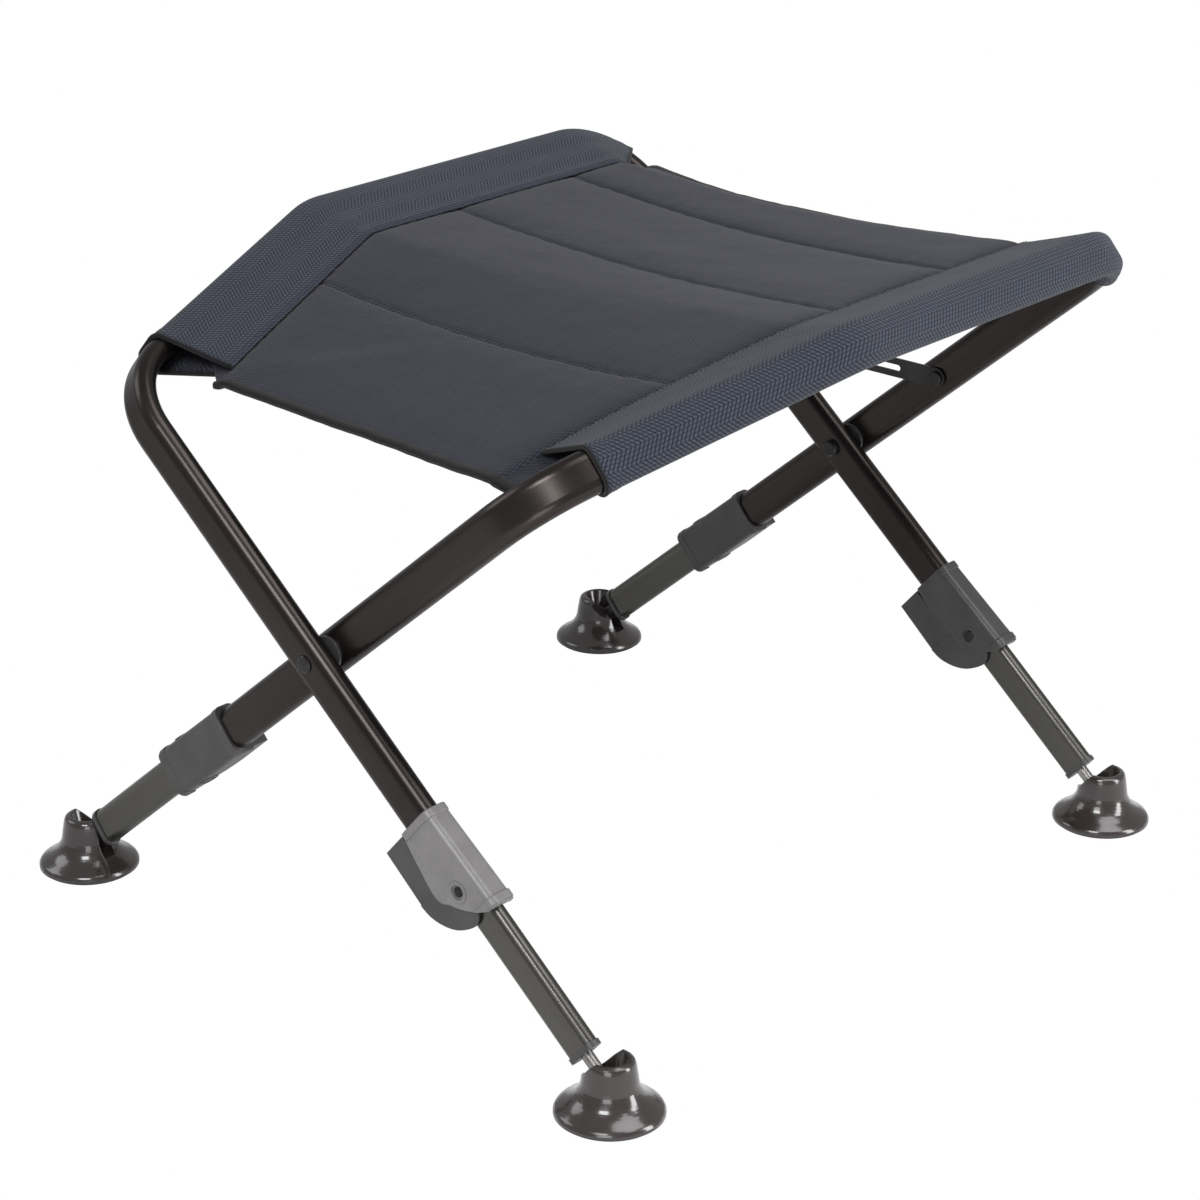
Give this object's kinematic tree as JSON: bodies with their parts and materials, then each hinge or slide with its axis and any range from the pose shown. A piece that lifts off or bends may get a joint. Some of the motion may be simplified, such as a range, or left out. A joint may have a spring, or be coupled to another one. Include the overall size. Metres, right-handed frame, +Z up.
{
  "type": "folding camp stool",
  "caption": "Cross-frame folding stool with a fabric seat that drops at one edge, telescoping clamped legs and swivelling foot discs.",
  "frame": {"origin": "on the floor, at the middle of the footprint, below the pivot axis", "axes": "+Z up, +Y along the rails and the pivot axis, from the lower edge of the seat to the level edge; +X from the rail of frame a to the rail of frame b"},
  "size_m": [0.549, 0.6214, 0.4306],
  "materials": {
    "tube": "satin metallic",
    "inner_tube": "satin anodised",
    "clamp_plastic": "fine grained",
    "lever_plastic": "fine grained",
    "foot_plastic": "glossy",
    "sole_rubber": "ribbed",
    "pad_plastic": "plain",
    "steel": "satin",
    "seat_cloth": "plain weave",
    "sleeve_cloth": "dotted twill",
    "binding_cloth": "ribbed tape"
  },
  "bodies": {
    "frame_a": {"frame_tube_a": "tube", "seat_sleeve_a": "sleeve_cloth", "seat_panel": "seat_cloth", "seat_sling": "seat_cloth", "seat_binding_near": "binding_cloth", "seat_binding_far": "binding_cloth", "clamp_housing_a_near": "clamp_plastic", "clamp_housing_a_far": "clamp_plastic", "clamp_pins_a": "steel", "clamp_pad_a_near": "pad_plastic", "clamp_pad_a_far": "pad_plastic", "pivot_bolt_near": "steel", "pivot_bolt_far": "steel", "pivot_cap_near": "steel", "pivot_cap_far": "steel", "stay_stud": "steel"},
    "frame_b": {"frame_tube_b": "tube", "seat_sleeve_b": "sleeve_cloth", "clamp_housing_b_near": "clamp_plastic", "clamp_housing_b_far": "clamp_plastic", "clamp_pins_b": "steel", "clamp_pad_b_near": "pad_plastic", "clamp_pad_b_far": "pad_plastic", "pivot_bush_near": "pad_plastic", "pivot_bush_far": "pad_plastic", "pivot_spacer_near": "lever_plastic", "pivot_spacer_far": "lever_plastic", "stay_rivet": "steel"},
    "stay": {"stay_strip": "steel"},
    "leg_a_near": {"inner_tube_a_near": "inner_tube", "tube_glide_a_near": "pad_plastic", "end_plug_a_near": "lever_plastic", "ball_stem_a_near": "steel"},
    "lever_a_near": {"clamp_lever_a_near": "lever_plastic"},
    "foot_a_near": {"foot_cup_a_near": "foot_plastic", "foot_sole_a_near": "sole_rubber"},
    "leg_a_far": {"inner_tube_a_far": "inner_tube", "tube_glide_a_far": "pad_plastic", "end_plug_a_far": "lever_plastic", "ball_stem_a_far": "steel"},
    "lever_a_far": {"clamp_lever_a_far": "lever_plastic"},
    "foot_a_far": {"foot_cup_a_far": "foot_plastic", "foot_sole_a_far": "sole_rubber"},
    "leg_b_near": {"inner_tube_b_near": "inner_tube", "tube_glide_b_near": "pad_plastic", "end_plug_b_near": "lever_plastic", "ball_stem_b_near": "steel"},
    "lever_b_near": {"clamp_lever_b_near": "lever_plastic"},
    "foot_b_near": {"foot_cup_b_near": "foot_plastic", "foot_sole_b_near": "sole_rubber"},
    "leg_b_far": {"inner_tube_b_far": "inner_tube", "tube_glide_b_far": "pad_plastic", "end_plug_b_far": "lever_plastic", "ball_stem_b_far": "steel"},
    "lever_b_far": {"clamp_lever_b_far": "lever_plastic"},
    "foot_b_far": {"foot_cup_b_far": "foot_plastic", "foot_sole_b_far": "sole_rubber"}
  },
  "joints": [
    {"name": "fold", "type": "hinge", "parent": "frame_a", "child": "frame_b", "pos_m": [0, 0, 0.2243], "axis": [0, -1, 0], "range_deg": [0, 78], "deforming": ["seat_panel", "seat_sling", "seat_binding_near", "seat_binding_far"]},
    {"name": "stay_swing", "type": "hinge", "parent": "frame_b", "child": "stay", "pos_m": [0.07722, 0.2683, 0.29048], "axis": [0, 1, 0], "range_deg": [0, 39]},
    {"name": "leg_slide_a_near", "type": "slide", "parent": "frame_a", "child": "leg_a_near", "axis": [0.7593, 0, -0.6508], "range_m": [-0.05, 0.02]},
    {"name": "lever_a_near", "type": "hinge", "parent": "frame_a", "child": "lever_a_near", "pos_m": [0.12843, -0.2769, 0.11291], "axis": [0, 1, 0], "range_deg": [-30, 0]},
    {"name": "foot_tilt_a_near", "type": "hinge", "parent": "leg_a_near", "child": "foot_a_near", "pos_m": [0.24069, -0.2769, 0.018], "axis": [0, 1, 0], "range_deg": [-20, 20]},
    {"name": "leg_slide_a_far", "type": "slide", "parent": "frame_a", "child": "leg_a_far", "axis": [0.7593, 0, -0.6508], "range_m": [-0.05, 0.02]},
    {"name": "lever_a_far", "type": "hinge", "parent": "frame_a", "child": "lever_a_far", "pos_m": [0.12843, 0.2597, 0.11291], "axis": [0, 1, 0], "range_deg": [-30, 0]},
    {"name": "foot_tilt_a_far", "type": "hinge", "parent": "leg_a_far", "child": "foot_a_far", "pos_m": [0.24069, 0.2597, 0.018], "axis": [0, 1, 0], "range_deg": [-20, 20]},
    {"name": "leg_slide_b_near", "type": "slide", "parent": "frame_b", "child": "leg_b_near", "axis": [-0.7593, 0, -0.6508], "range_m": [-0.05, 0.02]},
    {"name": "lever_b_near", "type": "hinge", "parent": "frame_b", "child": "lever_b_near", "pos_m": [-0.12908, -0.2587, 0.11367], "axis": [0.6508, 0, -0.7593], "range_deg": [-30, 0]},
    {"name": "foot_tilt_b_near", "type": "hinge", "parent": "leg_b_near", "child": "foot_b_near", "pos_m": [-0.24069, -0.2597, 0.018], "axis": [0, 1, 0], "range_deg": [-20, 20]},
    {"name": "leg_slide_b_far", "type": "slide", "parent": "frame_b", "child": "leg_b_far", "axis": [-0.7593, 0, -0.6508], "range_m": [-0.05, 0.02]},
    {"name": "lever_b_far", "type": "hinge", "parent": "frame_b", "child": "lever_b_far", "pos_m": [-0.12908, 0.2779, 0.11367], "axis": [0.6508, 0, -0.7593], "range_deg": [-30, 0]},
    {"name": "foot_tilt_b_far", "type": "hinge", "parent": "leg_b_far", "child": "foot_b_far", "pos_m": [-0.24069, 0.2769, 0.018], "axis": [0, 1, 0], "range_deg": [-20, 20]}
  ],
  "couplings": [
    {"joint": "stay_swing", "follows": "fold", "ratio": 0.5}
  ]
}
